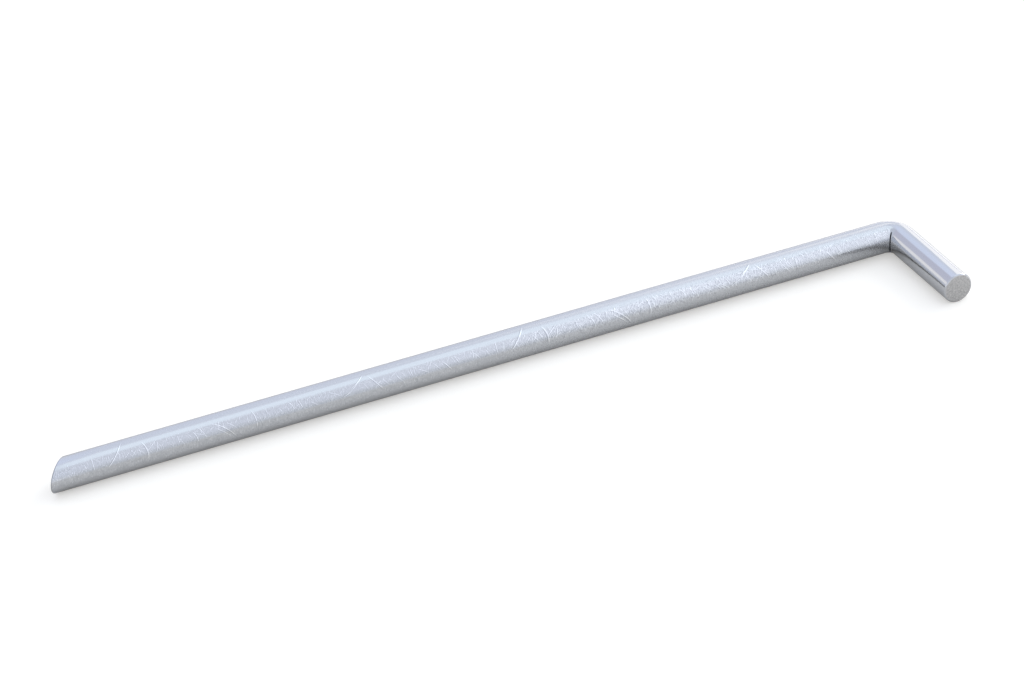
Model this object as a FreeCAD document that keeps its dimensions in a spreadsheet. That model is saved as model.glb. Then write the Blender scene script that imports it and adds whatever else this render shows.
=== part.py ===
"""Ground anchor: one length of round steel bar, bent once into an L.

The anchor lies on its side, as it comes to rest: both legs touch the floor at z = 0 and the bend is in
a horizontal plane. The long leg runs along +X to the slanting cut that makes its point. The short leg,
which is struck and which holds down what is anchored, runs along +Y. The origin is on the floor, under
the middle of the bounding box. Lengths are in millimetres and angles in degrees.
"""

import FreeCAD
import Part
import math
import os
import Sketcher

NODE = "anchor_rod"

doc = FreeCAD.newDocument("ground_anchor")

# The driving sizes. Each is written here once, and everything else follows from them.
driving_sizes = [
    ("bar_diameter", 16.0),
    ("long_leg_length", 480.0),
    ("short_leg_length", 68.0),
    ("leg_angle", 90.0),
    ("bend_inner_radius", 0.2),
    ("point_angle", 45.0),
    ("point_allowance", 3.0),
    ("point_rim_radius", 0.3),
    ("end_rim_radius", 0.8),
    ("crease_depth", 0.6),
    ("crease_flank_angle", 22.0),
    ("crease_arc", 120.0),
    ("crease_runout", 1.5),
]

# The sizes that follow. The corner is where the centrelines of the two legs cross. point_reach is how far
# the slanting cut runs ahead of its middle, and point_loss is what rounding its edge takes off the tip.
# bend_middle is the distance from the corner to the middle of the bend's centreline.
following_sizes = [
    ("bar_radius", "=bar_diameter / 2"),
    ("bend_radius", "=bar_radius + bend_inner_radius"),
    ("point_reach", "=bar_radius / tan(point_angle)"),
    ("point_loss", "=point_rim_radius * (1 / tan(point_angle / 2) - 1)"),
    ("cut_from_corner", "=long_leg_length - bar_radius - point_reach + point_loss"),
    ("bar_from_corner", "=cut_from_corner + point_reach + point_allowance"),
    ("end_from_corner", "=short_leg_length - bar_radius"),
    ("bend_middle", "=bend_radius / sin(leg_angle / 2) - bend_radius"),
    ("corner_x", "=bar_radius - long_leg_length / 2"),
    ("corner_y", "=bar_radius - short_leg_length / 2"),
]

sheet = doc.addObject("Spreadsheet::Sheet", "sizes")
for row, (alias, content) in enumerate(driving_sizes + following_sizes, start=1):
    sheet.set(f"A{row}", alias)
    sheet.set(f"B{row}", str(content))
    sheet.setAlias(f"B{row}", alias)
doc.recompute()


def size(alias):
    """The value of a named size, as a plain number."""
    content = sheet.get(alias)
    return float(getattr(content, "Value", content))


body = doc.addObject("PartDesign::Body", NODE)
body.Label = NODE
body.setExpression("Placement.Base.x", "sizes.corner_x")
body.setExpression("Placement.Base.y", "sizes.corner_y")


def new_sketch(name, plane_role, offsets):
    """A sketch on one of the body's origin planes, each part of its offset driven from the sheet."""
    sketch = body.newObject("Sketcher::SketchObject", name)
    plane = next(item for item in body.Origin.OriginFeatures if item.Role == plane_role)
    sketch.AttachmentSupport = [(plane, "")]
    sketch.MapMode = "FlatFace"
    for member, expression in offsets.items():
        sketch.setExpression(f"AttachmentOffset.{member}", expression)
    return sketch


def drive(sketch, name, constraint, expression):
    """Add a dimension to a sketch, and drive it from the sheet."""
    index = sketch.addConstraint(constraint)
    sketch.renameConstraint(index, name)
    sketch.setExpression(f"Constraints.{name}", expression)


def point(x, y):
    """A point or a direction in the plane of a sketch."""
    return FreeCAD.Vector(x, y, 0)


# A sketch numbers its own axes downwards from -1, and the points of a line, arc or circle upwards from 1.
X_AXIS, Y_AXIS = range(-1, -3, -1)
START, END, CENTRE = range(1, 4)
ORIGIN = (X_AXIS, START)
UP = FreeCAD.Vector(0, 0, 1)

# The centreline: the long leg, the bend and the short leg, one bar radius above the floor.
leg_angle = math.radians(size("leg_angle"))
bend_radius = size("bend_radius")
tangent_length = bend_radius / math.tan(leg_angle / 2)
short_direction = point(math.cos(leg_angle), math.sin(leg_angle))
bend_circle = Part.Circle(point(tangent_length, bend_radius), UP, bend_radius)
centreline = new_sketch("centreline", "XY_Plane", {"Base.z": "sizes.bar_radius"})
long_line = centreline.addGeometry(
    Part.LineSegment(point(tangent_length, 0), point(size("bar_from_corner"), 0))
)
bend_arc = centreline.addGeometry(
    Part.ArcOfCircle(bend_circle, leg_angle + math.pi / 2, 3 * math.pi / 2)
)
short_line = centreline.addGeometry(
    Part.LineSegment(short_direction * tangent_length, short_direction * size("end_from_corner"))
)
centreline.addConstraint(Sketcher.Constraint("PointOnObject", long_line, START, X_AXIS))
centreline.addConstraint(Sketcher.Constraint("PointOnObject", long_line, END, X_AXIS))
centreline.addConstraint(Sketcher.Constraint("Tangent", long_line, START, bend_arc, END))
centreline.addConstraint(Sketcher.Constraint("Tangent", bend_arc, START, short_line, START))
centreline.addConstraint(Sketcher.Constraint("PointOnObject", *ORIGIN, short_line))
drive(
    centreline,
    "bar_from_corner",
    Sketcher.Constraint("DistanceX", *ORIGIN, long_line, END, size("bar_from_corner")),
    "sizes.bar_from_corner",
)
drive(
    centreline,
    "end_from_corner",
    Sketcher.Constraint("Distance", *ORIGIN, short_line, END, size("end_from_corner")),
    "sizes.end_from_corner",
)
drive(
    centreline,
    "bend_radius",
    Sketcher.Constraint("Radius", bend_arc, bend_radius),
    "sizes.bend_radius",
)
drive(
    centreline,
    "leg_angle",
    Sketcher.Constraint("Angle", long_line, START, short_line, START, leg_angle),
    "sizes.leg_angle",
)

# The bar's round section, at the far end of the long leg.
section = new_sketch("section", "YZ_Plane", {"Base.z": "sizes.bar_from_corner"})
circle = section.addGeometry(Part.Circle(point(0, size("bar_radius")), UP, size("bar_radius")))
section.addConstraint(Sketcher.Constraint("PointOnObject", circle, CENTRE, Y_AXIS))
drive(
    section,
    "height",
    Sketcher.Constraint("DistanceY", *ORIGIN, circle, CENTRE, size("bar_radius")),
    "sizes.bar_radius",
)
drive(
    section,
    "bar_diameter",
    Sketcher.Constraint("Diameter", circle, size("bar_diameter")),
    "sizes.bar_diameter",
)
doc.recompute()

bar = body.newObject("PartDesign::AdditivePipe", "bent_bar")
bar.Profile = section
bar.Spine = centreline
doc.recompute()


def edges_in_plane(feature, place, normal):
    """The names of a feature's edges that lie in the plane through a place, square to a normal."""
    plane = Part.Plane(place, normal).toShape()
    names = []
    for number, edge in enumerate(feature.Shape.Edges, start=1):
        if edge.isCoplanar(plane):
            names.append(f"Edge{number}")
    return names


# The struck end of the short leg is square to the bar, with a rounded rim.
end_rim = body.newObject("PartDesign::Fillet", "end_rim")
end_rim.Base = (bar, edges_in_plane(bar, short_direction * size("end_from_corner"), short_direction))
end_rim.setExpression("Radius", "sizes.end_rim_radius")
doc.recompute()

# The point: one straight cut that slants across the long leg. Its tip is on the side of the short leg.
# The triangle holds everything beyond the cut, and the middle of its long side is on the centreline.
point_angle = math.radians(size("point_angle"))
middle = size("cut_from_corner")
reach = size("bar_from_corner") - middle
rise = reach * math.tan(point_angle)
slant = new_sketch("slanting_cut", "XY_Plane", {})
low_corner = point(middle - reach, -rise)
high_corner = point(middle + reach, rise)
square_corner = point(middle + reach, -rise)
cut_middle = slant.addGeometry(Part.Point(point(middle, 0)), True)
cut_line = slant.addGeometry(Part.LineSegment(low_corner, high_corner))
far_side = slant.addGeometry(Part.LineSegment(high_corner, square_corner))
near_side = slant.addGeometry(Part.LineSegment(square_corner, low_corner))
slant.addConstraint(Sketcher.Constraint("Coincident", cut_line, END, far_side, START))
slant.addConstraint(Sketcher.Constraint("Coincident", far_side, END, near_side, START))
slant.addConstraint(Sketcher.Constraint("Coincident", near_side, END, cut_line, START))
slant.addConstraint(Sketcher.Constraint("Vertical", far_side))
slant.addConstraint(Sketcher.Constraint("Horizontal", near_side))
slant.addConstraint(Sketcher.Constraint("PointOnObject", cut_middle, START, X_AXIS))
slant.addConstraint(Sketcher.Constraint("Symmetric", cut_line, START, cut_line, END, cut_middle, START))
drive(
    slant,
    "cut_from_corner",
    Sketcher.Constraint("DistanceX", *ORIGIN, cut_middle, START, middle),
    "sizes.cut_from_corner",
)
drive(
    slant,
    "bar_from_corner",
    Sketcher.Constraint("DistanceX", *ORIGIN, cut_line, END, middle + reach),
    "sizes.bar_from_corner",
)
drive(
    slant,
    "point_angle",
    Sketcher.Constraint("Angle", cut_line, point_angle),
    "sizes.point_angle",
)
doc.recompute()

cut = body.newObject("PartDesign::Pocket", "point_cut")
cut.Profile = slant
cut.Type = "ThroughAll"
cut.Reversed = True
doc.recompute()

cut_normal = point(math.sin(point_angle), -math.cos(point_angle))
point_rim = body.newObject("PartDesign::Fillet", "point_rim")
point_rim.Base = (cut, edges_in_plane(cut, point(middle, 0), cut_normal))
point_rim.setExpression("Radius", "sizes.point_rim_radius")
doc.recompute()

# The crease: the sharp fold that the tight bend leaves along its inside. It is a shallow groove with
# slanting flanks, turned about the middle of the bend's centreline, so its depth is the same all along.
# The sketch is in the plane of the bend, with its own X axis pointing from the bend to the inside.
crease_sketch = new_sketch(
    "crease_section",
    "XY_Plane",
    {
        "Base.x": "sizes.bend_middle * cos(sizes.leg_angle / 2)",
        "Base.y": "sizes.bend_middle * sin(sizes.leg_angle / 2)",
        "Base.z": "sizes.bar_radius",
        "Rotation.Angle": "sizes.leg_angle / 2",
    },
)
root = size("bar_radius") - size("crease_depth")
mouth = size("bar_radius") + size("crease_runout")
flank_angle = math.radians(size("crease_flank_angle"))
half_mouth = (mouth - root) * math.tan(flank_angle)
flank = crease_sketch.addGeometry(Part.LineSegment(point(root, 0), point(mouth, half_mouth)))
opening = crease_sketch.addGeometry(Part.LineSegment(point(mouth, half_mouth), point(mouth, -half_mouth)))
other_flank = crease_sketch.addGeometry(Part.LineSegment(point(mouth, -half_mouth), point(root, 0)))
crease_sketch.addConstraint(Sketcher.Constraint("Coincident", flank, END, opening, START))
crease_sketch.addConstraint(Sketcher.Constraint("Coincident", opening, END, other_flank, START))
crease_sketch.addConstraint(Sketcher.Constraint("Coincident", other_flank, END, flank, START))
crease_sketch.addConstraint(Sketcher.Constraint("PointOnObject", flank, START, X_AXIS))
crease_sketch.addConstraint(Sketcher.Constraint("Symmetric", opening, START, opening, END, X_AXIS))
drive(
    crease_sketch,
    "root_radius",
    Sketcher.Constraint("DistanceX", *ORIGIN, flank, START, root),
    "sizes.bar_radius - sizes.crease_depth",
)
drive(
    crease_sketch,
    "mouth_radius",
    Sketcher.Constraint("DistanceX", *ORIGIN, flank, END, mouth),
    "sizes.bar_radius + sizes.crease_runout",
)
drive(
    crease_sketch,
    "flank_angle",
    Sketcher.Constraint("Angle", flank, flank_angle),
    "sizes.crease_flank_angle",
)
doc.recompute()

crease = body.newObject("PartDesign::Groove", "crease")
crease.Profile = crease_sketch
crease.ReferenceAxis = (crease_sketch, ["V_Axis"])
crease.setExpression("Angle", "sizes.crease_arc")
crease.Midplane = True
doc.recompute()


def check_document():
    """Stop if any object failed, if a cut removed nothing, or if the body isn't one sound solid."""
    for item in doc.Objects:
        if "Invalid" in item.State or "Error" in item.State:
            raise RuntimeError(f"{item.Name} failed: {item.State}")
    if body.Shape.isNull() or not body.Shape.isValid() or len(body.Shape.Solids) != 1:
        raise RuntimeError("the body is not one sound solid")
    for earlier, later in ((end_rim, cut), (cut, point_rim), (point_rim, crease)):
        if later.Shape.Volume >= earlier.Shape.Volume:
            raise RuntimeError(f"{later.Name} removed nothing")


check_document()
os.makedirs("parts", exist_ok=True)
body.Shape.exportStep(os.path.join("parts", NODE + ".step"))
print("volume of the bar, mm3:", round(body.Shape.Volume, 1))
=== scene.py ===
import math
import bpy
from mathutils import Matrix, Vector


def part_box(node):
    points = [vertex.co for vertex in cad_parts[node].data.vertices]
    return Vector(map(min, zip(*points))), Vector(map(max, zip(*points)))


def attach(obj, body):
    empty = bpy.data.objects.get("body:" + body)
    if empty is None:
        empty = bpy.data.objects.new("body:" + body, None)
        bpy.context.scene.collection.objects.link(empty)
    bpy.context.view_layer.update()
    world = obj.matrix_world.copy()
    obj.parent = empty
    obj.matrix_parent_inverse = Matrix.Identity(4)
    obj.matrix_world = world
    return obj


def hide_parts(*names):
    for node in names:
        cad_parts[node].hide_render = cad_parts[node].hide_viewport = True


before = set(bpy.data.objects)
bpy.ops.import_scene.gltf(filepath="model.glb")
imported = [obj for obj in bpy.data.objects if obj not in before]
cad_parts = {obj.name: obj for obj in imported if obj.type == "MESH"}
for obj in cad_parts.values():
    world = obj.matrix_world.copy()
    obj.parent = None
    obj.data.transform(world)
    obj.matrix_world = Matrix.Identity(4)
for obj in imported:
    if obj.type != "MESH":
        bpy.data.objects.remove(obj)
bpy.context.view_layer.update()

# The looks of the ground anchor: one round steel bar, bent sharply into a long leg with a
# slant-cut point and a short leg that is struck. Metres throughout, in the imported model's frame.
from types import SimpleNamespace

import bmesh
import bpy
from mathutils import Euler, Matrix, Vector

low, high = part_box("anchor_rod")

MM = 0.001
BAR_RADIUS = round((high.z - low.z) / 2, 6)
AXIS_Z = low.z + BAR_RADIUS
LONG_LEG_Y = round(low.y + BAR_RADIUS, 6)
SHORT_LEG_X = round(low.x + BAR_RADIUS, 6)
SHORT_END_Y = round(high.y, 5)

# the bend: INWARDS points to its inner corner, and MITRE is square to the plane that halves it
BEND_INNER_RADIUS = 0.2 * MM
BEND_RADIUS = BAR_RADIUS + BEND_INNER_RADIUS
BEND_CENTRE = Vector((SHORT_LEG_X + BEND_RADIUS, LONG_LEG_Y + BEND_RADIUS, AXIS_Z))
INWARDS = Vector((1, 1, 0)).normalized()
MITRE = Vector((1, -1, 0)).normalized()
BEND_MIDDLE = BEND_CENTRE - INWARDS * BEND_RADIUS

# the struck end, cut square
END_MIDDLE = Vector((SHORT_LEG_X, SHORT_END_Y, AXIS_Z))
END_NORMAL = Vector((0, 1, 0))
END_RIM = 0.8 * MM

# the point, cut at 45 degrees: rounding its edge takes a little off the length
HALF_POINT = math.radians(45 / 2)
POINT_RIM = 0.3 * MM
POINT_LOSS = POINT_RIM * (1 / math.tan(HALF_POINT) - 1)
CUT_MIDDLE = Vector((high.x - BAR_RADIUS + POINT_LOSS, LONG_LEG_Y, AXIS_Z))
CUT_NORMAL = Vector((1, -1, 0)).normalized()

# the crease on the inside of the bend: its cutter stands out of the bar by the runout
CREASE_DEPTH = 0.6 * MM
CREASE_RUNOUT = 1.5 * MM
CREASE_FLANK = math.radians(22)
CREASE_ARC = math.radians(97)

# how finely the bar is cut up: round it, round the bend, and along each leg
SIDES = 128
BEND_STEPS = 64
CREASE_STEPS = 40
SHORT_LEG_SHARES = (0.5, 0.5)
LONG_LEG_SHARES = (0.12, 0.22, 0.22, 0.22, 0.15, 0.07)

# the bar is drawn out this far past its point, and then cut
PAST_POINT = 6 * MM

# a point this near to a plane lies in it, and a face turned this much its way faces its way
TOUCHING = 1e-6
FACING = 0.9999


# ---------------------------------------------------------------- shaping the bar

def clear_selection():
    """Leave edit mode and deselect everything, the loaded model too."""
    if bpy.context.mode != "OBJECT":
        bpy.ops.object.mode_set(mode="OBJECT")
    bpy.ops.object.select_all(action="DESELECT")


def pick(piece):
    """Select one piece alone."""
    clear_selection()
    piece.select_set(True)
    bpy.context.view_layer.objects.active = piece


def edit(piece, element="FACE"):
    """Edit one piece, with nothing of it selected."""
    pick(piece)
    bpy.ops.object.mode_set(mode="EDIT")
    bpy.ops.mesh.select_mode(type=element)
    bpy.ops.mesh.select_all(action="DESELECT")


def pick_edges(piece, wanted):
    """In edit mode, select the edges for which wanted(edge) is true."""
    mesh = bmesh.from_edit_mesh(piece.data)
    for edge in mesh.edges:
        edge.select_set(bool(wanted(edge)))
    bmesh.update_edit_mesh(piece.data)


def lies_on(points, middle, normal):
    """Whether all the points lie in the plane through middle, square to normal."""
    return all(abs((point - middle).dot(normal)) < TOUCHING for point in points)


def pick_rim(piece, middle, normal):
    """In edit mode, select the edges that lie in that plane."""
    pick_edges(piece, lambda edge: lies_on([v.co for v in edge.verts], middle, normal))


def draw_out(run, shares):
    """In edit mode, draw the selected face out by the run in x and y, in these shares of it."""
    for share in shares:
        step = (run[0] * share, run[1] * share, 0)
        bpy.ops.mesh.extrude_region_move(TRANSFORM_OT_translate={"value": step})


def bend_bar():
    """The bar from its struck end, round the bend, to past its point, drawn out of a disc."""
    clear_selection()
    bpy.ops.mesh.primitive_circle_add(
        vertices=SIDES,
        radius=BAR_RADIUS,
        fill_type="NGON",
        location=END_MIDDLE,
        rotation=(-math.pi / 2, 0, 0),
    )
    bar = bpy.context.object
    bar.name = bar.data.name = "bent_bar"
    bpy.ops.object.transform_apply(location=True, rotation=True, scale=True)
    bpy.ops.object.mode_set(mode="EDIT")
    bpy.ops.mesh.select_mode(type="FACE")
    bpy.ops.mesh.select_all(action="SELECT")
    draw_out((0, BEND_CENTRE.y - SHORT_END_Y), SHORT_LEG_SHARES)
    bpy.ops.mesh.spin(
        steps=BEND_STEPS,
        angle=-math.pi / 2,
        center=BEND_CENTRE,
        axis=(0, 0, 1),
    )
    draw_out((high.x + PAST_POINT - BEND_CENTRE.x, 0), LONG_LEG_SHARES)
    return bar


def cut_point(bar):
    """Saw the long leg off at a slant, and close the cut."""
    edit(bar)
    bpy.ops.mesh.select_all(action="SELECT")
    bpy.ops.mesh.bisect(
        plane_co=CUT_MIDDLE,
        plane_no=CUT_NORMAL,
        use_fill=True,
        clear_outer=True,
    )


def round_rims(bar):
    """Round the rim of the struck end, and take the burr off the slanting cut."""
    edit(bar, "EDGE")
    pick_rim(bar, END_MIDDLE, END_NORMAL)
    bpy.ops.mesh.bevel(offset=END_RIM, segments=8, profile=0.5, affect="EDGES")
    pick_rim(bar, CUT_MIDDLE, CUT_NORMAL)
    bpy.ops.mesh.bevel(
        offset_type="WIDTH",
        offset=2 * POINT_RIM * math.cos(HALF_POINT),
        segments=4,
        profile=0.4,
        affect="EDGES",
    )


def close_up(piece):
    """Merge what doubles, and turn every face outwards."""
    edit(piece)
    bpy.ops.mesh.select_all(action="SELECT")
    bpy.ops.mesh.remove_doubles(threshold=1e-7)
    bpy.ops.mesh.normals_make_consistent(inside=False)
    clear_selection()


def crease_cutter():
    """A bent wedge, which presses the crease into the inside of the bend."""
    height = CREASE_DEPTH + CREASE_RUNOUT
    # an equilateral triangle is one and a half times as high as its corners are far out
    reach = height / 1.5
    half_side = reach * math.sin(math.radians(60))
    start = Matrix.Rotation(-CREASE_ARC / 2, 3, MITRE)
    place = BEND_MIDDLE + start @ (INWARDS * (BAR_RADIUS - CREASE_DEPTH + reach))
    turn = (start @ Euler((math.pi, 0, -math.pi / 4)).to_matrix()).to_euler()
    clear_selection()
    bpy.ops.mesh.primitive_circle_add(
        vertices=3,
        radius=reach,
        fill_type="NGON",
        location=place,
        rotation=turn,
        scale=(height * math.tan(CREASE_FLANK) / half_side, 1, 1),
    )
    cutter = bpy.context.object
    cutter.name = cutter.data.name = "crease_cutter"
    bpy.ops.object.transform_apply(location=True, rotation=True, scale=True)
    bpy.ops.object.mode_set(mode="EDIT")
    bpy.ops.mesh.select_all(action="SELECT")
    bpy.ops.mesh.spin(steps=CREASE_STEPS, angle=-CREASE_ARC, center=BEND_MIDDLE, axis=MITRE)
    close_up(cutter)
    return cutter


def press_crease(bar, cutter):
    """Take the cutter out of the bar. The crease's faces keep the cutter's material."""
    groove = bar.modifiers.new("crease", "BOOLEAN")
    groove.operation = "DIFFERENCE"
    groove.solver = "EXACT"
    groove.material_mode = "TRANSFER"
    groove.object = cutter
    pick(bar)
    bpy.ops.object.modifier_apply(modifier=groove.name)
    bpy.data.objects.remove(cutter)


# ---------------------------------------------------------------- finishes

class Nodes:
    """A short way to lay out a node tree: each call adds nodes, and returns what they give."""

    def __init__(self, tree):
        self.tree = tree

    def add(self, kind, inputs=None, **settings):
        node = self.tree.nodes.new(kind)
        for name, value in settings.items():
            setattr(node, name, value)
        for key, value in (inputs or {}).items():
            self.feed(node.inputs[key], value)
        return node

    def feed(self, socket, value):
        if isinstance(value, bpy.types.NodeSocket):
            self.tree.links.new(value, socket)
        elif value is not None:
            socket.default_value = value

    def math(self, operation, *values, clamp=False):
        node = self.add("ShaderNodeMath", operation=operation, use_clamp=clamp)
        for socket, value in zip(node.inputs, values):
            self.feed(socket, value)
        return node.outputs[0]

    def ramp(self, value, from_low, from_high, to_low=0.0, to_high=1.0, smooth=True):
        # a smooth ramp stays between its ends, and a clamp on each takes up the shader's room
        node = self.add(
            "ShaderNodeMapRange",
            {0: value, 1: from_low, 2: from_high, 3: to_low, 4: to_high},
            interpolation_type="SMOOTHSTEP" if smooth else "LINEAR",
            clamp=not smooth,
        )
        return node.outputs[0]

    def off(self, value, middle):
        """How far the value is off the middle, to either side."""
        return self.math("ABSOLUTE", self.math("SUBTRACT", value, middle))

    def weighed(self, start, parts):
        """The start, and on top of it each part times its weight."""
        for part, weight in parts:
            start = self.math("MULTIPLY_ADD", part, weight, start)
        return start

    def object_place(self):
        return self.add("ShaderNodeTexCoord").outputs["Object"]

    def bump(self, height, distance):
        """The shader's normal over a surface of this height, in parts of that distance."""
        inputs = {"Height": height, "Strength": 1.0, "Distance": distance}
        return self.add("ShaderNodeBump", inputs).outputs[0]

    def vector(self, x, y, z=0.0):
        return self.add("ShaderNodeCombineXYZ", {0: x, 1: y, 2: z}).outputs[0]

    def split(self, vector):
        return self.add("ShaderNodeSeparateXYZ", {0: vector}).outputs

    def noise(self, vector, scale, detail=2.0, roughness=0.5):
        return self.add(
            "ShaderNodeTexNoise",
            {"Vector": vector, "Scale": scale, "Detail": detail, "Roughness": roughness},
        ).outputs["Fac"]

    def blend(self, share, first, second):
        node = self.add("ShaderNodeMix", data_type="RGBA")
        for index, value in ((0, share), (6, first), (7, second)):
            self.feed(node.inputs[index], value)
        return node.outputs[2]

    def blend_value(self, share, first, second):
        node = self.add("ShaderNodeMix", data_type="FLOAT")
        for index, value in ((0, share), (2, first), (3, second)):
            self.feed(node.inputs[index], value)
        return node.outputs[0]

    def vector_math(self, operation, first, second):
        return self.add("ShaderNodeVectorMath", {0: first, 1: second}, operation=operation).outputs

    def shift(self, vector, offset):
        return self.vector_math("ADD", vector, offset)["Vector"]

    def stretch(self, vector, scale):
        return self.vector_math("MULTIPLY", vector, scale)["Vector"]

    def dot(self, vector, direction):
        return self.vector_math("DOT_PRODUCT", vector, direction)["Value"]

    def use(self, tree, inputs):
        """Place a node group and feed its inputs. Returns its outputs."""
        node = self.add("ShaderNodeGroup", node_tree=tree)
        for name, value in inputs.items():
            self.feed(node.inputs[name], value)
        return node.outputs


def new_group(name, inputs, outputs):
    """An empty node group with these sockets: its tree, its nodes, what it is given and makes."""
    tree = bpy.data.node_groups.new(name, "ShaderNodeTree")
    for label, kind, value in inputs:
        socket = tree.interface.new_socket(label, in_out="INPUT", socket_type=kind)
        if value is not None:
            socket.default_value = value
    for label, kind in outputs:
        tree.interface.new_socket(label, in_out="OUTPUT", socket_type=kind)
    nodes = Nodes(tree)
    return SimpleNamespace(
        tree=tree,
        nodes=nodes,
        given=nodes.add("NodeGroupInput").outputs,
        made=nodes.add("NodeGroupOutput").inputs,
    )


FLOAT, VECTOR = "NodeSocketFloat", "NodeSocketVector"

# How one scratch fades: its line and the lip beside it, by half widths off its middle, and its
# tips, by half lengths along it.
SCRATCH_FADES, LIP_PLACE, LIP_FADES, TIPS_FADE = (0.25, 1.0), 1.5, (0.2, 1.0), (0.45, 1.0)


def scratch_group():
    """One bowed scratch, by how far a point is from its crown: its bared line and darker lip."""
    group = new_group(
        "scratch",
        [
            ("Along", FLOAT, 0.0),
            ("Across", FLOAT, 0.0),
            ("Turn", FLOAT, 0.0),
            ("Half Length", FLOAT, 0.003),
            ("Half Width", FLOAT, 0.0002),
            ("Bow", FLOAT, 0.0),
        ],
        [("Scratch", FLOAT), ("Lip", FLOAT)],
    )
    n, given = group.nodes, group.given
    # turned with plain numbers, because many turned vectors at once leave the shader no room
    sine, cosine = n.math("SINE", given["Turn"]), n.math("COSINE", given["Turn"])
    sideways = n.math("MULTIPLY", given["Across"], sine)
    along = n.math("SUBTRACT", n.math("MULTIPLY", given["Along"], cosine), sideways)
    upright = n.math("MULTIPLY", given["Across"], cosine)
    across = n.math("MULTIPLY_ADD", given["Along"], sine, upright)
    bow = n.math("MULTIPLY", n.math("MULTIPLY", along, along), given["Bow"])
    off_line = n.math("DIVIDE", n.math("SUBTRACT", across, bow), given["Half Width"])
    line = n.ramp(n.math("ABSOLUTE", off_line), *SCRATCH_FADES, 1.0, 0.0)
    beside = n.ramp(n.off(off_line, LIP_PLACE), *LIP_FADES, 1.0, 0.0)
    reach = n.math("DIVIDE", n.math("ABSOLUTE", along), given["Half Length"])
    tips = n.ramp(reach, *TIPS_FADE, 1.0, 0.0)
    n.feed(group.made["Scratch"], n.math("MULTIPLY", line, tips))
    n.feed(group.made["Lip"], n.math("MULTIPLY", beside, tips))
    return group.tree


def scuff_group(scratch):
    """Many short scratches at random, one to a cell of a flat place, each with its own turn."""
    group = new_group(
        "scuffs",
        [
            ("Place", VECTOR, None),
            ("Cells", FLOAT, 400.0),
            ("Turn", FLOAT, 0.0),
            ("Spread", FLOAT, 1.0),
            ("Half Length", FLOAT, 0.001),
            ("Half Width", FLOAT, 0.0001),
            ("Bow", FLOAT, 0.0),
            ("Bare", FLOAT, 0.4),
        ],
        [("Scratch", FLOAT), ("Lip", FLOAT)],
    )
    n, given = group.nodes, group.given
    cell = n.add(
        "ShaderNodeTexVoronoi",
        {"Vector": given["Place"], "Scale": given["Cells"], "Randomness": 1.0},
        voronoi_dimensions="2D",
    )
    offset = n.vector_math("SUBTRACT", given["Place"], cell.outputs["Position"])["Vector"]
    chance, spin, size = n.add("ShaderNodeSeparateColor", {0: cell.outputs["Color"]}).outputs
    along, across = n.dot(offset, (1, 0, 0)), n.dot(offset, (0, 1, 0))
    turned = n.math("SUBTRACT", spin, 0.5)
    one = n.use(
        scratch,
        {
            "Along": along,
            "Across": across,
            "Turn": n.math("MULTIPLY_ADD", turned, given["Spread"], given["Turn"]),
            "Half Length": n.math("MULTIPLY", given["Half Length"], n.math("ADD", size, 0.5)),
            "Half Width": given["Half Width"],
            "Bow": n.math("MULTIPLY", given["Bow"], n.math("SUBTRACT", size, 0.5)),
        },
    )
    shown = n.ramp(chance, given["Bare"], 1.0, 0.0, 1.0, smooth=False)
    n.feed(group.made["Scratch"], n.math("MULTIPLY", one["Scratch"], shown))
    n.feed(group.made["Lip"], n.math("MULTIPLY", one["Lip"], shown))
    return group.tree


def grit_group():
    """Fine speckle of sawn or scuffed steel about 0.5, in two sizes of grain over each other."""
    group = new_group(
        "grit",
        [("Place", VECTOR, None), ("Grains", FLOAT, 1500.0), ("Contrast", FLOAT, 1.0)],
        [("Grit", FLOAT)],
    )
    n, given = group.nodes, group.given
    coarse = n.noise(given["Place"], given["Grains"], 2.0, 0.6)
    fine = n.noise(given["Place"], n.math("MULTIPLY", given["Grains"], 2.3), 1.0, 0.5)
    both = n.math("ADD", n.math("MULTIPLY", coarse, 0.6), n.math("MULTIPLY", fine, 0.4))
    n.feed(
        group.made["Grit"],
        n.math("MULTIPLY_ADD", n.math("SUBTRACT", both, 0.5), given["Contrast"], 0.5),
    )
    return group.tree


# the painted shade along the crease, a dark line, by the turn from its middle: it widens, and then
# it ends
LINE_WIDENS = (math.radians(8), math.radians(28))
LINE_HALF_WIDTH = (0.23 * MM, 0.37 * MM)
LINE_ENDS = (math.radians(44.5), math.radians(48.5))


def painted_crease_shade_group():
    """Where shade is painted along the crease: 1 in its line, narrow in the middle and wider away.
    """
    group = new_group("painted_crease_shade", [("Place", VECTOR, None)], [("Painted Shade", FLOAT)])
    n, given = group.nodes, group.given
    from_middle = n.shift(given["Place"], -BEND_MIDDLE)
    across = n.math("ABSOLUTE", n.dot(from_middle, MITRE))
    rise = n.dot(from_middle, (0, 0, 1))
    turn = n.math("ABSOLUTE", n.math("ARCTAN2", rise, n.dot(from_middle, INWARDS)))
    half_width = n.ramp(turn, *LINE_WIDENS, *LINE_HALF_WIDTH)
    inside = n.ramp(n.math("DIVIDE", across, half_width), 0.75, 1.15, 1.0, 0.0)
    ends = n.ramp(turn, *LINE_ENDS, 1.0, 0.0)
    n.feed(group.made["Painted Shade"], n.math("MULTIPLY", inside, ends))
    return group.tree


# The same wear comes again at every repeat along the long leg, counted from its first place. On
# the hidden half it is shifted by a share of the repeat. The visible half starts a little below
# the height of the axis.
WEAR_REPEAT = 217.1 * MM
WEAR_FIRST = 2.4 * MM
WEAR_SHIFT = 0.385
HALF_ROUND = math.pi * BAR_RADIUS
HALF_STARTS = -5.5 * MM

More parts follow.
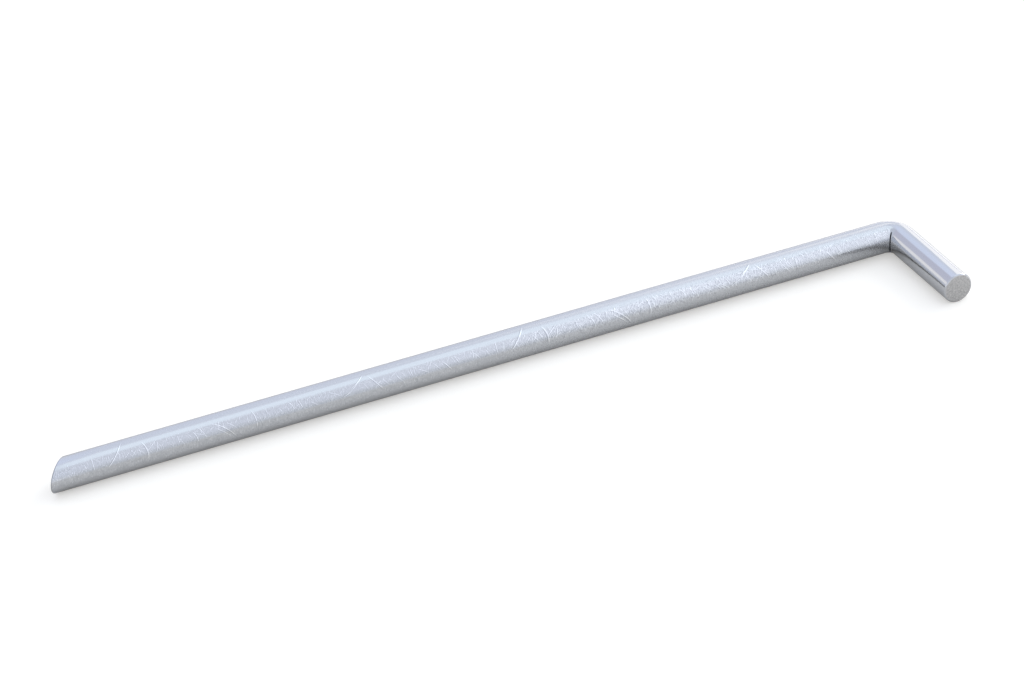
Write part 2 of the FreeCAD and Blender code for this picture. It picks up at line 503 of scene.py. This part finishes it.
# The long scratches, as millimetres along the leg and round it: start, middle, end, and half of
# the width. Round it is 0 at the height of the axis, on the short leg's side, and 12.57 on top.
# Each is drawn longer by the factor SCRATCH_LONGER, because its tips fade.
SCRATCH_LONGER = 1.12
LONG_SCRATCHES = [
    ((216.9, 8.6), (217.2, 5.2), (217.0, 1.8), 0.20),
    ((199.8, 12.3), (204.6, 6.5), (210.2, 1.4), 0.30),
    ((200.7, 3.9), (199.5, 4.8), (198.1, 5.9), 0.18),
    ((196.7, 6.8), (196.1, 5.3), (195.1, 3.7), 0.20),
    ((194.3, 6.3), (195.7, 5.0), (197.4, 3.5), 0.18),
    ((193.0, 6.8), (192.8, 5.7), (192.3, 4.4), 0.20),
    ((190.4, 9.4), (188.9, 4.6), (189.0, -0.6), 0.36),
    ((183.1, 8.4), (186.2, 6.1), (189.1, 4.1), 0.20),
    ((182.9, 7.8), (183.3, 5.0), (185.6, 1.3), 0.24),
    ((172.2, 7.4), (172.3, 5.7), (172.0, 3.7), 0.20),
    ((164.5, 7.2), (163.0, 4.6), (162.5, 1.8), 0.28),
    ((161.4, 8.6), (159.5, 5.9), (157.9, 2.0), 0.22),
    ((153.6, 8.2), (147.4, 4.2), (142.0, -2.0), 0.34),
    ((152.2, 5.2), (149.0, 3.0), (145.4, -0.2), 0.22),
    ((150.0, 8.4), (150.5, 6.7), (151.0, 5.0), 0.22),
    ((135.3, 6.3), (135.5, 4.7), (135.3, 3.2), 0.20),
    ((132.2, 9.0), (131.3, 5.3), (131.6, -0.6), 0.32),
    ((129.2, 5.5), (128.8, 3.4), (128.0, 1.2), 0.20),
    ((113.0, 8.2), (111.7, 6.2), (110.8, 3.8), 0.24),
    ((107.7, 7.8), (107.1, 5.7), (106.6, 3.8), 0.24),
    ((71.0, 11.4), (75.8, 7.5), (80.0, 4.7), 0.28),
    ((73.6, 9.1), (76.6, 7.4), (79.6, 5.8), 0.20),
    ((79.4, 4.9), (82.0, 3.8), (84.5, 2.8), 0.20),
    ((69.2, 10.0), (66.3, 5.4), (63.0, 1.3), 0.28),
    ((55.3, 6.4), (53.4, 3.6), (51.2, 1.0), 0.20),
    ((46.9, 7.1), (47.1, 5.2), (46.6, 3.4), 0.24),
    ((45.4, 7.2), (45.3, 5.5), (45.5, 3.7), 0.20),
    ((29.6, 6.1), (27.5, 3.6), (25.1, 0.4), 0.28),
    ((22.9, 7.2), (22.1, 5.2), (21.1, 3.1), 0.22),
]


def scratch_values(start, middle, end):
    """A scratch through three points as its own place, turn, half length and bow."""
    start, middle, end = (Vector(point) * MM for point in (start, middle, end))
    chord = end - start
    half = chord.length / 2
    centre = (start + end) / 2
    normal = Vector((-chord.y, chord.x)).normalized()
    rise = (middle - centre).dot(normal)
    # the line is y = bow * x^2 about its crown, so the place is the crown
    crown = centre + normal * rise
    return crown, math.atan2(chord.y, chord.x), half, -rise / half**2


def surface_place(n):
    """Where a point is: its place, metres along the long leg, and metres round it from the
    short leg's side."""
    place = n.object_place()
    x, y, z = n.split(place)
    # the angle is taken from the top, so that its jump lies underneath
    backwards, upwards = n.math("SUBTRACT", LONG_LEG_Y, y), n.math("SUBTRACT", z, AXIS_Z)
    from_top = n.math("ARCTAN2", backwards, upwards)
    around = n.math("MULTIPLY", n.math("ADD", from_top, math.pi / 2), BAR_RADIUS)
    return place, x, around


def new_material(name):
    material = bpy.data.materials.new(name)
    material.use_nodes = True
    material.node_tree.nodes.clear()
    n = Nodes(material.node_tree)
    shader = n.add("ShaderNodeBsdfPrincipled")
    n.add("ShaderNodeOutputMaterial", {"Surface": shader.outputs[0]})
    return material, n, shader


# Fine scuffs at random: cells to a metre, turn, spread of the turn, half of the length and of the
# width in millimetres, bow, share of the cells that stay bare, and how far the layer is shifted.
FINE_SCUFFS = [
    (115.0, 1.9, 1.6, 4.8, 0.20, 45.0, 0.35, 11.3),
    (180.0, 1.7, 1.9, 3.4, 0.19, 80.0, 0.30, 0.0),
    (330.0, 1.5, 2.2, 1.7, 0.18, 140.0, 0.30, 3.1),
    (560.0, 1.6, 2.4, 1.0, 0.16, 0.0, 0.25, 7.7),
]

# Where the wear lies round the bar, and between which distances to either side it fades: its
# band, the speckle's, a narrow one low on the side, and the band's heart, which lies lower
# towards the bend. The first two widen towards the bend, and a little is left all round.
BAND_PLACE, BAND_FADES, BAND_LEAST = 5.3 * MM, (1.3 * MM, 3.6 * MM), 0.07
SPECKLE_PLACE, SPECKLE_FADES, SPECKLE_LEAST = 4.3 * MM, (2.0 * MM, 4.9 * MM), 0.06
LOW_PLACE, LOW_FADES = 0.3 * MM, (1.2 * MM, 2.6 * MM)
HEART_PLACES, HEART_FADES = (6.1 * MM, 5.5 * MM), (1.2 * MM, 3.1 * MM)
BAND_WIDENING = 1.0 * MM

# How it changes along the leg, where x runs from -0.24 at the bend to 0.24 at the point: its
# strength at the point and where it is strongest, with the share of that left at the bend; what
# the half widths in the long scratches' list are times, far from the bend and near it; how much
# lighter the heart gets; and the strength of the low speckle, far from the bend and near it.
WORN_AT_POINT, WORN_MOST, WORN_LEFT_AT_BEND = 0.50, 1.6, 0.66
SCRATCH_WIDTHS = (0.74 * MM, 1.2 * MM)
HEART_LIGHTER = 0.23
LOW_WEAR = (0.85, 0.4)

# The bar's tone runs from dull (0) to bared steel (1). Each kind of mark moves it by its own
# weight, and stands out from the surface, or lies in it, by another one.
DULL_STEEL = (0.45, 0.4575, 0.48, 1.0)
BARED_STEEL = (0.98, 0.985, 0.995, 1.0)
# a darker colour just at the slanting cut's edge
CUT_EDGE_DARK = (0.375, 0.375, 0.39, 1.0)
CUT_EDGE_DARK_STARTS = (-0.75 * MM, -0.25 * MM)        # off the plane of the slanting cut
# painted shade: the colour of the dark line along the crease
CREASE_PAINTED_SHADE = (0.035, 0.035, 0.04, 1.0)
WHITE = (1.0, 1.0, 1.0, 1.0)
EDGE_TINT = (0.90, 0.905, 0.92, 1.0)
PLAIN_TONE = 0.28
SCRATCH_TONE, SCUFF_TONE, SPECKLE_TONE = 0.85, 0.92, 0.38
SCUFF_LIP_TONE, SCRATCH_LIP_TONE = -0.30, -0.40
SCRATCH_HEIGHT, SCUFF_HEIGHT, SPECKLE_HEIGHT = -1.0, -0.55, 0.6
WAVE_HEIGHT, LINE_HEIGHT = 0.6, 0.015
SURFACE_DEPTH = 0.02 * MM
# the last roughness here, and the metal share below, are those of the painted crease shade
SMOOTH_ROUGHNESS, SCUFFED_ROUGHNESS, PAINTED_SHADE_ROUGHNESS = 0.085, 0.12, 0.6
PAINTED_SHADE_METAL = 0.2


# the ragged edge of the scuffed length: the least x that it reaches, and how deep it goes
RAGGED_FROM, RAGGED_DEPTH = BEND_CENTRE.x - 3.0 * MM, 1.6 * MM


def scuffed_length(n, place, along):
    """1 where the bar is scuffed, up to a ragged edge at the crease, and 0 where it is smooth."""
    ragged = n.math("MULTIPLY_ADD", n.noise(place, 900.0), RAGGED_DEPTH, RAGGED_FROM)
    scuffed = n.ramp(n.math("SUBTRACT", along, ragged), -0.3 * MM, 0.5 * MM)
    long_side = n.ramp(n.dot(n.shift(place, -BEND_CENTRE), MITRE), 0.0, 0.5 * MM)
    return n.math("MULTIPLY", scuffed, long_side)


def wear_place(n, along, around):
    """Where a point lies in the wear, which is laid on each half and at every repeat."""
    side = n.math("FLOOR", n.math("DIVIDE", n.math("SUBTRACT", around, HALF_STARTS), HALF_ROUND))
    wear_around = n.math("MULTIPLY_ADD", side, -HALF_ROUND, around)
    shifted = n.math("MULTIPLY_ADD", side, WEAR_SHIFT * WEAR_REPEAT, along)
    wear_along = n.math("WRAP", shifted, WEAR_FIRST + WEAR_REPEAT, WEAR_FIRST)
    return wear_along, wear_around


def long_scratches(n, scratch, wear_along, wear_around, width):
    """The long scratches: their bared lines, and the lips beside them."""
    # each is laid over those before it at once, because the shader has no room for many
    lines = lips = None
    for start, middle, end, half_width in LONG_SCRATCHES:
        crown, turn, half_length, bow = scratch_values(start, middle, end)
        line, lip = n.use(
            scratch,
            {
                "Along": n.math("SUBTRACT", wear_along, crown.x),
                "Across": n.math("SUBTRACT", wear_around, crown.y),
                "Turn": -turn,
                "Half Length": half_length * SCRATCH_LONGER,
                "Half Width": n.math("MULTIPLY", width, half_width),
                "Bow": bow,
            },
        )
        lines = line if lines is None else n.math("MAXIMUM", lines, line)
        lips = lip if lips is None else n.math("MAXIMUM", lips, lip)
    return lines, lips


def fine_scuffs(n, scuffs, along, around):
    """The fine scuffs in all their sizes: their bared lines, and the lips beside them."""
    flat = n.vector(along, around)
    lines = lips = None
    for cells, turn, spread, half_length, half_width, bow, bare, shift in FINE_SCUFFS:
        line, lip = n.use(
            scuffs,
            {
                "Place": n.shift(flat, (shift, shift, 0)),
                "Cells": cells,
                "Turn": turn,
                "Spread": spread,
                "Half Length": half_length * MM,
                "Half Width": half_width * MM,
                "Bow": bow,
                "Bare": bare,
            },
        )
        lines = line if lines is None else n.math("ADD", lines, line, clamp=True)
        lips = lip if lips is None else n.math("ADD", lips, lip, clamp=True)
    return lines, lips


def bar_finish(scratch, scuffs, grit, painted_crease_shade):
    """Bright bar: scuffed along the long leg, smooth from the bend to the struck end."""
    material, n, shader = new_material("bright_bar")
    place, along, around = surface_place(n)

    # the scuffed length is worn more near the bend than at the point
    scuffed = scuffed_length(n, place, along)
    worn = n.ramp(along, 0.03, -0.07, WORN_AT_POINT, WORN_MOST)
    left = n.ramp(along, -0.11, BEND_CENTRE.x, 1.0, WORN_LEFT_AT_BEND)
    worn = n.math("MULTIPLY", worn, left)

    wear_along, wear_around = wear_place(n, along, around)
    width = n.ramp(along, 0.06, -0.04, *SCRATCH_WIDTHS)
    scratches, scratch_lips = long_scratches(n, scratch, wear_along, wear_around, width)

    # the wear is heaviest along a band on each half, and thin between the two
    widening = n.ramp(along, 0.0, -0.22, 0.0, BAND_WIDENING)
    off_band = n.math("SUBTRACT", n.off(wear_around, BAND_PLACE), widening)
    band = n.ramp(off_band, *BAND_FADES, 1.0, BAND_LEAST)

    scuff_lines, scuff_lips = fine_scuffs(n, scuffs, along, around)
    drawn_round = n.stretch(place, (1.0, 0.45, 0.45))
    speckle = n.use(grit, {"Place": drawn_round, "Grains": 1900.0, "Contrast": 4.3})["Grit"]

    # the speckle has a wider band of its own, and a narrow one low on the side
    speckle_place = n.math("MULTIPLY_ADD", widening, 0.8, SPECKLE_PLACE)
    off_speckle = n.math("MULTIPLY_ADD", widening, -0.5, n.off(wear_around, speckle_place))
    worn = n.math("MULTIPLY", worn, scuffed)
    speckle_band = n.ramp(off_speckle, *SPECKLE_FADES, 1.0, SPECKLE_LEAST)
    speckle_wear = n.math("MULTIPLY", worn, speckle_band)
    low_band = n.ramp(n.off(wear_around, LOW_PLACE), *LOW_FADES, 1.0, 0.0)
    low_speckle = n.math("MULTIPLY", low_band, n.ramp(along, 0.05, -0.05, *LOW_WEAR))
    low_speckle = n.math("MULTIPLY", low_speckle, scuffed)
    speckle_wear = n.math("MAXIMUM", speckle_wear, low_speckle)

    # the long scratches are broken by the speckle, and the scuffs lie in the band
    wear = n.math("MULTIPLY", worn, band)
    broken = n.math("MULTIPLY_ADD", speckle, 0.55, 0.55)
    scratches = n.math("MULTIPLY", n.math("MULTIPLY", scratches, broken), scuffed)
    scuff_lines = n.math("MULTIPLY", scuff_lines, wear)
    speckled = n.math("MULTIPLY", n.math("SUBTRACT", speckle, 0.5), speckle_wear)
    scratch_lips = n.math("MULTIPLY", n.math("MULTIPLY", scratch_lips, broken), scuffed)
    scuff_lips = n.math("MULTIPLY", scuff_lips, wear)

    # the heart of the band is worn lighter, from the middle of the leg to the bend
    heart_place = n.ramp(along, 0.05, -0.20, *HEART_PLACES)
    heart = n.ramp(n.off(wear_around, heart_place), *HEART_FADES, 1.0, 0.0)
    heart = n.math("MULTIPLY", heart, scuffed)
    lighter = n.math("MULTIPLY", n.ramp(along, 0.12, -0.14, 0.0, HEART_LIGHTER), heart)
    tone = n.weighed(
        n.math("ADD", lighter, PLAIN_TONE),
        (
            (scratches, SCRATCH_TONE),
            (scuff_lines, SCUFF_TONE),
            (speckled, SPECKLE_TONE),
            (scuff_lips, SCUFF_LIP_TONE),
            (scratch_lips, SCRATCH_LIP_TONE),
        ),
    )
    colour = n.blend(tone, DULL_STEEL, BARED_STEEL)

    # darker just at the slanting cut's edge, and painted shade along the crease
    from_cut = n.dot(n.shift(place, -CUT_MIDDLE), CUT_NORMAL)
    colour = n.blend(n.ramp(from_cut, *CUT_EDGE_DARK_STARTS), colour, CUT_EDGE_DARK)
    crease_shade = n.use(painted_crease_shade, {"Place": place})["Painted Shade"]
    n.feed(shader.inputs["Base Color"], n.blend(crease_shade, colour, CREASE_PAINTED_SHADE))
    n.feed(shader.inputs["Metallic"], n.blend_value(crease_shade, 1.0, PAINTED_SHADE_METAL))
    n.feed(shader.inputs["Specular Tint"], n.blend(scuffed, WHITE, EDGE_TINT))

    # drawn finish of the smooth lengths: slow waves and hardly visible draw lines
    waves = n.noise(place, 110.0)
    lines = n.noise(n.stretch(place, (1.0, 0.05, 1.0)), 2600.0, 1.0)
    smooth_roughness = n.math("MULTIPLY_ADD", lines, 0.05, SMOOTH_ROUGHNESS)
    scuffed_roughness = n.math("MULTIPLY_ADD", worn, 0.085, SCUFFED_ROUGHNESS)
    scuffed_roughness = n.math("MULTIPLY_ADD", speckle, 0.10, scuffed_roughness)
    roughness = n.blend_value(scuffed, smooth_roughness, scuffed_roughness)
    n.feed(shader.inputs["Roughness"], n.blend_value(crease_shade, roughness, PAINTED_SHADE_ROUGHNESS))

    height = n.weighed(
        0.0,
        (
            (scratches, SCRATCH_HEIGHT),
            (scuff_lines, SCUFF_HEIGHT),
            (speckled, SPECKLE_HEIGHT),
            (waves, WAVE_HEIGHT),
            (lines, LINE_HEIGHT),
        ),
    )
    n.feed(shader.inputs["Normal"], n.bump(height, SURFACE_DEPTH))
    return material


SAWN_DARK = (0.39, 0.38, 0.369, 1.0)
SAWN_LIGHT = (0.70, 0.682, 0.663, 1.0)


def sawn_finish(grit):
    """Dull speckled grey of the two sawn faces."""
    material, n, shader = new_material("sawn_face")
    place = n.object_place()
    speckle = n.use(grit, {"Place": place, "Grains": 1000.0, "Contrast": 3.5})["Grit"]
    n.feed(shader.inputs["Base Color"], n.blend(speckle, SAWN_DARK, SAWN_LIGHT))
    n.feed(shader.inputs["Metallic"], 0.75)
    n.feed(shader.inputs["Roughness"], n.math("MULTIPLY_ADD", speckle, 0.2, 0.5))
    n.feed(shader.inputs["Normal"], n.bump(speckle, 0.02 * MM))
    return material


CREASE_STEEL = (0.62, 0.63, 0.65, 1.0)
# painted shade in the crease's line, speckled from dark to a little less dark
PAINTED_SHADE_DARK = (0.02, 0.02, 0.024, 1.0)
PAINTED_SHADE_LIGHT = (0.06, 0.06, 0.065, 1.0)


def crease_shade_finish(grit, painted_crease_shade):
    """The crease's flanks: bright where they leave the bar, dark with painted shade between."""
    material, n, shader = new_material("crease_painted_shade")
    place = n.object_place()
    crease_shade = n.use(painted_crease_shade, {"Place": place})["Painted Shade"]
    speckle = n.use(grit, {"Place": place, "Grains": 3000.0, "Contrast": 1.5})["Grit"]
    dark = n.blend(speckle, PAINTED_SHADE_DARK, PAINTED_SHADE_LIGHT)
    n.feed(shader.inputs["Base Color"], n.blend(crease_shade, CREASE_STEEL, dark))
    n.feed(shader.inputs["Metallic"], n.blend_value(crease_shade, 1.0, PAINTED_SHADE_METAL))
    shade_roughness = n.math("MULTIPLY_ADD", speckle, 0.2, PAINTED_SHADE_ROUGHNESS)
    n.feed(shader.inputs["Roughness"], n.blend_value(crease_shade, 0.25, shade_roughness))
    n.feed(shader.inputs["Normal"], n.bump(speckle, 0.01 * MM))
    return material


def dress(bar, finishes):
    """Give each face of the bar its finish."""
    for material in finishes:
        if material.name not in bar.data.materials:
            bar.data.materials.append(material)
    materials = enumerate(bar.data.materials)
    slots = {material.name: index for index, material in materials if material}
    for face in bar.data.polygons:
        if face.material_index == slots["crease_painted_shade"]:
            continue
        sawn = any(
            face.normal.dot(normal) > FACING and lies_on([face.center], middle, normal)
            for middle, normal in ((END_MIDDLE, END_NORMAL), (CUT_MIDDLE, CUT_NORMAL))
        )
        face.material_index = slots["sawn_face" if sawn else "bright_bar"]


# ---------------------------------------------------------------- studio

# the whole room's light, at which a colour renders about as it is written
ROOM_LEVEL = 0.8

# The floor glows to white where the camera sees it, a little where the bar mirrors it, and more
# where the short leg's outer edge mirrors it, beside the bend.
FLOOR_RADIUS = 12.0
FLOOR_COLOUR = (0.683, 0.655, 0.60, 1.0)
FLOOR_GLOW = (1.0, 0.99, 0.97, 1.0)
GLOW_SEEN = 0.39
GLOW_MIRRORED = 0.02
GLOW_BESIDE = 0.38


def studio_floor():
    """A wide round floor under the anchor, which keeps the anchor's shadow."""
    clear_selection()
    bpy.ops.mesh.primitive_circle_add(
        vertices=96,
        radius=FLOOR_RADIUS,
        fill_type="NGON",
        location=(0, 0, low.z),
    )
    floor = bpy.context.object
    floor.name = floor.data.name = "studio_floor"
    material = bpy.data.materials.new("studio_floor")
    material.use_nodes = True
    material.node_tree.nodes.clear()
    n = Nodes(material.node_tree)
    paint = n.add("ShaderNodeBsdfDiffuse", {"Color": FLOOR_COLOUR})
    path = n.add("ShaderNodeLightPath").outputs
    mirrored = n.math("MAXIMUM", path["Is Glossy Ray"], path["Is Transmission Ray"])
    along = n.split(n.object_place())["X"]
    beside = n.ramp(along, low.x - 25 * MM, low.x - 5 * MM, 1.0, 0.0)
    glow = n.math("MULTIPLY_ADD", beside, GLOW_BESIDE, GLOW_MIRRORED)
    strength = n.math("MULTIPLY", mirrored, glow)
    strength = n.math("MULTIPLY_ADD", path["Is Camera Ray"], GLOW_SEEN, strength)
    lift = n.add("ShaderNodeEmission", {"Color": FLOOR_GLOW, "Strength": strength})
    both = n.add("ShaderNodeAddShader", {0: paint.outputs[0], 1: lift.outputs[0]})
    n.add("ShaderNodeOutputMaterial", {"Surface": both.outputs[0]})
    floor.data.materials.append(material)


def softbox(name, towards, distance, along, length, breadth, colour):
    """A flat even lamp of that radiance, with its length along, seen from the bar towards it."""
    out = Vector(towards).normalized()
    long_side = (Vector(along) - out * Vector(along).dot(out)).normalized()
    short_side = out.cross(long_side)
    lamp = bpy.data.lights.new(name, "AREA")
    lamp.shape = "RECTANGLE"
    lamp.size, lamp.size_y = length, breadth
    peak = max(colour)
    lamp.color = [value / peak for value in colour]
    lamp.energy = math.pi * length * breadth * peak * ROOM_LEVEL
    light = bpy.data.objects.new(name, lamp)
    light.matrix_world = Matrix.Translation(out * distance) @ Matrix(
        (long_side, short_side, out)
    ).transposed().to_4x4()
    light.visible_camera = False
    bpy.context.scene.collection.objects.link(light)


def studio_world():
    """A soft pale room, bluer overhead: brightest low down on the right (+X) in front, and a
    step darker on the right at the back. The camera looks from the front (+Y)."""
    world = bpy.data.worlds.new("studio")
    bpy.context.scene.world = world
    world.use_nodes = True
    world.node_tree.nodes.clear()
    n = Nodes(world.node_tree)
    x, y, z = n.split(n.add("ShaderNodeTexCoord").outputs["Generated"])
    rise = n.ramp(z, 0.0, 0.6)
    front_left = n.blend(rise, (0.90, 0.95, 1.03, 1.0), (1.18, 1.25, 1.41, 1.0))
    right_rise = n.ramp(z, 0.12, 0.5)
    front_right = n.blend(right_rise, (1.35, 1.38, 1.45, 1.0), (0.98, 1.06, 1.22, 1.0))
    front = n.blend(n.ramp(x, -0.22, 0.2), front_left, front_right)
    to_middle = n.ramp(x, -0.42, -0.1)
    rear_high = n.blend(to_middle, (1.13, 1.215, 1.40, 1.0), (1.18, 1.295, 1.58, 1.0))
    rear_left = n.blend(rise, (1.13, 1.18, 1.34, 1.0), rear_high)
    rear_right = n.blend(rise, (1.05, 1.09, 1.19, 1.0), (0.93, 0.96, 1.15, 1.0))
    rear = n.blend(n.ramp(x, 0.12, 0.24), rear_left, rear_right)
    colour = n.blend(n.ramp(y, -0.6, -0.25), rear, front)
    background = n.add("ShaderNodeBackground", {"Color": colour, "Strength": ROOM_LEVEL})
    n.add("ShaderNodeOutputWorld", {"Surface": background.outputs[0]})


def aim(azimuth, elevation):
    """The direction that lies azimuth degrees from -Y towards -X, and elevation degrees up."""
    a, e = math.radians(azimuth), math.radians(elevation)
    return Vector((-math.sin(a) * math.cos(e), -math.cos(a) * math.cos(e), math.sin(e)))


def panel(name, azimuths, elevations, distance, colour):
    """A softbox that fills these azimuths and elevations, in degrees, seen from the bar."""
    azimuth, elevation = sum(azimuths) / 2, sum(elevations) / 2
    half_length = math.tan(math.radians((azimuths[1] - azimuths[0]) / 2))
    half_breadth = math.tan(math.radians((elevations[1] - elevations[0]) / 2))
    length = 2 * distance * half_length * math.cos(math.radians(elevation))
    out = aim(azimuth, elevation)
    softbox(name, out, distance, (out.y, -out.x, 0), length, 2 * distance * half_breadth, colour)


def studio_lamps():
    """A large lamp overhead, a strong one beyond the bend, and panels for the short leg."""
    softbox("top_panel", (-0.40, -0.08, 0.91), 5.0, (1, 0, 0), 4.4, 2.8, (0.27, 0.35, 0.37))
    softbox("key_panel", (-0.86, -0.19, 0.47), 5.0, (0.22, -0.98, 0), 2.2, 2.2, (4.7, 5.0, 5.4))
    panel("rear_panel", (34.8, 78.0), (13.4, 44.0), 16.0, (0.69, 0.62, 0.48))
    panel("rear_low_panel", (27.5, 78.0), (0.6, 7.8), 16.0, (1.12, 1.03, 0.85))
    panel("streak_panel", (-62.0, -24.0), (10.5, 23.0), 8.0, (0.43, 0.40, 0.30))


CAMERA_PLACE = (1.1631198, 2.1405094, 1.5556138)
CAMERA_AIM = Vector((-0.403866, -0.7446512, -0.5314008))
CAMERA_LENS = 208.704        # millimetres, on a sensor 36 mm wide


def studio_camera():
    """The camera, at the place and with the lens that the photo was fitted with."""
    camera = bpy.data.cameras.new("camera")
    camera.sensor_fit = "HORIZONTAL"
    camera.sensor_width = 36.0
    camera.lens = CAMERA_LENS
    camera.clip_start, camera.clip_end = 0.1, 50.0
    stand = bpy.data.objects.new("camera", camera)
    stand.location = CAMERA_PLACE
    stand.rotation_mode = "QUATERNION"
    stand.rotation_quaternion = CAMERA_AIM.to_track_quat("-Z", "Y")
    bpy.context.scene.collection.objects.link(stand)
    bpy.context.scene.camera = stand


# ---------------------------------------------------------------- the piece

scratch = scratch_group()
scuffs = scuff_group(scratch)
grit = grit_group()
painted_crease_shade = painted_crease_shade_group()
bright_bar = bar_finish(scratch, scuffs, grit, painted_crease_shade)
sawn_face = sawn_finish(grit)
crease_painted_shade = crease_shade_finish(grit, painted_crease_shade)

bar = bend_bar()
cut_point(bar)
round_rims(bar)
close_up(bar)
cutter = crease_cutter()
bar.data.materials.append(bright_bar)
cutter.data.materials.append(crease_painted_shade)
press_crease(bar, cutter)
dress(bar, (bright_bar, sawn_face, crease_painted_shade))
pick(bar)
bpy.ops.object.shade_smooth_by_angle(angle=math.radians(30))
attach(bar, "root")
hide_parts("anchor_rod")

studio_floor()
studio_world()
studio_lamps()
studio_camera()
bpy.context.scene.view_settings.view_transform = "Standard"
